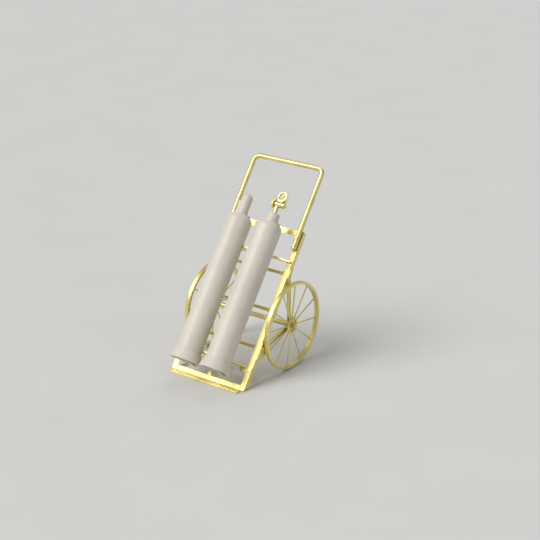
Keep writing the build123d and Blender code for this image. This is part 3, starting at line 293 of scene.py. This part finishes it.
# ----------------------------------------------------------------------------- mesh pieces
def piece(name, mesh, body, slot, look=None):
    """A finished mesh as a piece that rides on a body."""
    mesh.normal_update()
    data = bpy.data.meshes.new(name)
    mesh.to_mesh(data)
    mesh.free()
    for face in data.polygons:
        face.use_smooth = True
    made = bpy.data.objects.new(name, data)
    bpy.context.scene.collection.objects.link(made)
    data.materials.append(look or SLOT_LOOKS[slot])
    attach(made, body)
    return made


def tube(mesh, path, radii, sides=10, closed=False):
    """Skins a path of points with a round section of the given radius at each point."""
    rings = []
    count = len(path)
    for i, point in enumerate(path):
        before = path[i - 1] if i or closed else point
        after = path[(i + 1) % count] if i + 1 < count or closed else point
        way = (after - before).normalized()
        turn = way.to_track_quat("Z", "X").to_matrix()
        ring = []
        for k in range(sides):
            angle = 2 * math.pi * k / sides
            offset = turn @ Vector((math.cos(angle), math.sin(angle), 0))
            ring.append(mesh.verts.new(point + offset * radii[i]))
        rings.append(ring)
    pairs = list(zip(rings, rings[1:])) + ([(rings[-1], rings[0])] if closed else [])
    for low, high in pairs:
        for k in range(sides):
            mesh.faces.new((low[k], low[(k + 1) % sides], high[(k + 1) % sides], high[k]))
    if not closed:
        mesh.faces.new(rings[0][::-1])
        mesh.faces.new(rings[-1])


def bead(mesh, start, end, size, seed):
    """A weld bead in ripples of its own width, from start to end."""
    draw = random.Random(seed)
    run = end - start
    steps = max(6, int(run.length / (size * 0.28)))
    path, radii = [], []
    for i in range(steps + 1):
        t = i / steps
        ripple = 0.90 + 0.10 * abs(math.sin(math.pi * i / 2.6)) + draw.uniform(-0.04, 0.04)
        ends = min(1.0, 0.35 + 3.0 * min(t, 1 - t) * steps / 6)
        path.append(start + run * t)
        radii.append(size * ripple * ends)
    tube(mesh, path, radii)


def ring_bead(mesh, centre, axis, radius, size, seed, sides=10):
    """A weld bead all round a shaft."""
    draw = random.Random(seed)
    turn = axis.to_track_quat("Z", "X").to_matrix()
    steps = max(24, int(2 * math.pi * radius / (size * 0.4)))
    path, radii = [], []
    for i in range(steps):
        angle = 2 * math.pi * i / steps
        path.append(centre + turn @ Vector((math.cos(angle), math.sin(angle), 0)) * radius)
        ripple = 0.90 + 0.10 * abs(math.sin(math.pi * i / 2.6)) + draw.uniform(-0.04, 0.04)
        radii.append(size * ripple)
    tube(mesh, path, radii, sides, closed=True)


def dial_marks():
    """Scale marks round the dial, every fifth one longer, over the needle's 270 degrees."""
    mesh = bmesh.new()
    sweep, first = math.radians(270), math.radians(225)
    steps, outer = 30, DIAL_R - 2.2
    centre = cart(GAUGE_X, DIAL_Y, GAUGE_Z)
    for i in range(steps + 1):
        angle = first - sweep * i / steps
        way = ACROSS * math.cos(angle) + UP * math.sin(angle)
        side = ACROSS * -math.sin(angle) + UP * math.cos(angle)
        long = i % 5 == 0
        inner, half = (DIAL_R - 6.5, 0.38) if long else (DIAL_R - 4.6, 0.22)
        corners = []
        for depth in (0.2, -0.25):
            for reach, across in ((inner, -half), (inner, half), (outer, half), (outer, -half)):
                corners.append(mesh.verts.new(
                    centre + (way * reach + side * across + BACK * depth) / 1000))
        for face in ((3, 2, 1, 0), (4, 5, 6, 7), (0, 1, 5, 4), (1, 2, 6, 5), (2, 3, 7, 6),
                     (3, 0, 4, 7)):
            mesh.faces.new([corners[k] for k in face])
    bmesh.ops.recalc_face_normals(mesh, faces=mesh.faces)
    made = piece("dial_marks", mesh, "gas_cylinder_right", "needle",
                 dial_ink("dial_marks_ink", (0.50, 0.39, 0.17)))
    for face in made.data.polygons:
        face.use_smooth = False


def weld_beads():
    """Welds of the frame: bottom bar, centre post foot, axle beam flanges, cradle brackets."""
    mesh = bmesh.new()
    inner, outer = BRACKET_SPAN
    bracket_y, bracket_z = -TAB_T - 0.4, CRADLE_LOWER_Z - 0.4
    for s in (-1, 1):
        bead(mesh, cart(s * RAIL_INNER_X, 0.3, -24), cart(s * RAIL_INNER_X, 0.3, -1), 2.2e-3,
             seed=3 + s)
        bead(mesh, cart(s * inner, bracket_y, bracket_z), cart(s * outer, bracket_y, bracket_z),
             2.2e-3, seed=7 + s)
        ring_bead(mesh, cart(s * (RAIL_OUTER_X - FLANGE_T - 0.5), *WHEEL_AT), ACROSS,
                  (BEAM_R + 0.8) / 1000, 2.4e-3, seed=11 + s, sides=8)
    for y, seed in ((0.2, 15), (POST_BACK_Y, 16)):
        bead(mesh, cart(-POST_FOOT_HALF, y, 0.3), cart(POST_FOOT_HALF, y, 0.3), 2.0e-3, seed)
    piece("weld_beads", mesh, "cart", "frame_brass")


def spoke_roots(word, s):
    """Small flared fillets where each spoke meets the hub and the rim."""
    flare = [(-1.5, 8.0), (1.0, 7.2), (3.0, 6.1), (6.0, 5.4), (9.5, SPOKE_R + 0.05)]
    mesh = bmesh.new()
    for k in range(SPOKES):
        angle = math.radians(SPOKE_TURN + 360 * k / SPOKES)
        way = BACK * math.cos(angle) + UP * math.sin(angle)
        centre = cart(s * SPOKE_X, *WHEEL_AT)
        for foot, turn in ((HUB_R, 1), (RIM_IN_R, -1)):
            tube(mesh, [centre + way * (foot + turn * out) / 1000 for out, _ in flare],
                 [radius / 1000 for _, radius in flare], sides=14)
    piece(f"spoke_roots_{word}", mesh, f"wheel_{word}", "frame_brass")


# ------------------------------------------------------------------------ stage and camera
# The camera stands in front of the cart, to its right and above. Its place, in millimetres,
# and its directions are given in the cart's own frame; the lens is in millimetres.
CAMERA_AT = (5272, -7845, -633)
CAMERA_AHEAD = (-0.5397, 0.828, 0.1517)
CAMERA_RIGHT = (0.812, 0.4646, 0.3532)
CAMERA_LENS = 93.33
FLOOR_RADIUS = 60                   # metres


def along(x, y, z):
    """A unit direction given in the cart's own frame."""
    return (ACROSS * x + BACK * y + UP * z).normalized()


def camera():
    ahead, right = along(*CAMERA_AHEAD), along(*CAMERA_RIGHT)
    above = right.cross(ahead).normalized()
    data = bpy.data.cameras.new("camera")
    data.lens = CAMERA_LENS
    data.sensor_width = 36.0
    data.clip_end = 200.0
    made = bpy.data.objects.new("camera", data)
    made.location = cart(*CAMERA_AT)
    made.rotation_mode = "QUATERNION"
    turn = Matrix((ahead.cross(above), above, -ahead)).transposed()
    made.rotation_quaternion = turn.to_quaternion()
    bpy.context.scene.collection.objects.link(made)
    bpy.context.scene.camera = made


def studio_light(name, azimuth, elevation, strength, softness, tint=(1, 1, 1)):
    """A wide soft light shining from a direction; softness is the light's width in degrees."""
    data = bpy.data.lights.new(name, "SUN")
    data.energy = strength
    data.angle = math.radians(softness)
    data.color = tint
    made = bpy.data.objects.new(name, data)
    turn, rise = math.radians(azimuth), math.radians(elevation)
    back = Vector((math.sin(turn) * math.cos(rise), -math.cos(turn) * math.cos(rise),
                   math.sin(rise)))
    made.location = back * 8
    made.rotation_mode = "QUATERNION"
    made.rotation_quaternion = (-back).to_track_quat("-Z", "Y")
    bpy.context.scene.collection.objects.link(made)


def stage():
    """Pale floor out to the horizon, three wide soft lights and an even sky."""
    mesh = bmesh.new()
    bmesh.ops.create_circle(mesh, cap_ends=True, segments=96, radius=FLOOR_RADIUS)
    data = bpy.data.meshes.new("floor")
    mesh.to_mesh(data)
    mesh.free()
    floor = bpy.data.objects.new("floor", data)
    bpy.context.scene.collection.objects.link(floor)
    look = Look("floor_paint")
    cloud = look.noise(1.5, 3.0)
    look.set(
        Base_Color=look.mix(look.span(cloud, 0.3, 0.7), (0.70, 0.70, 0.69), (0.72, 0.72, 0.71)),
        Roughness=look.span(cloud, 0.3, 0.7, 0.65, 0.75),
    )
    look.bump(look.noise(300.0, 3.0), 0.0002)
    data.materials.append(look.material)

    studio_light("key", -30, 46, 2.1, 38, (1.0, 0.985, 0.95))
    studio_light("fill", 75, 35, 0.22, 50, (0.97, 0.98, 1.0))
    studio_light("back", 190, 50, 0.4, 40)
    world = bpy.data.worlds.new("studio")
    world.use_nodes = True
    world.node_tree.nodes["Background"].inputs["Color"].default_value = (0.85, 0.86, 0.88, 1)
    world.node_tree.nodes["Background"].inputs["Strength"].default_value = 0.33
    bpy.context.scene.world = world
    bpy.context.scene.view_settings.view_transform = "Standard"


camera()
stage()
dress_frame()
dial_marks()
weld_beads()
spoke_roots("left", -1)
spoke_roots("right", 1)
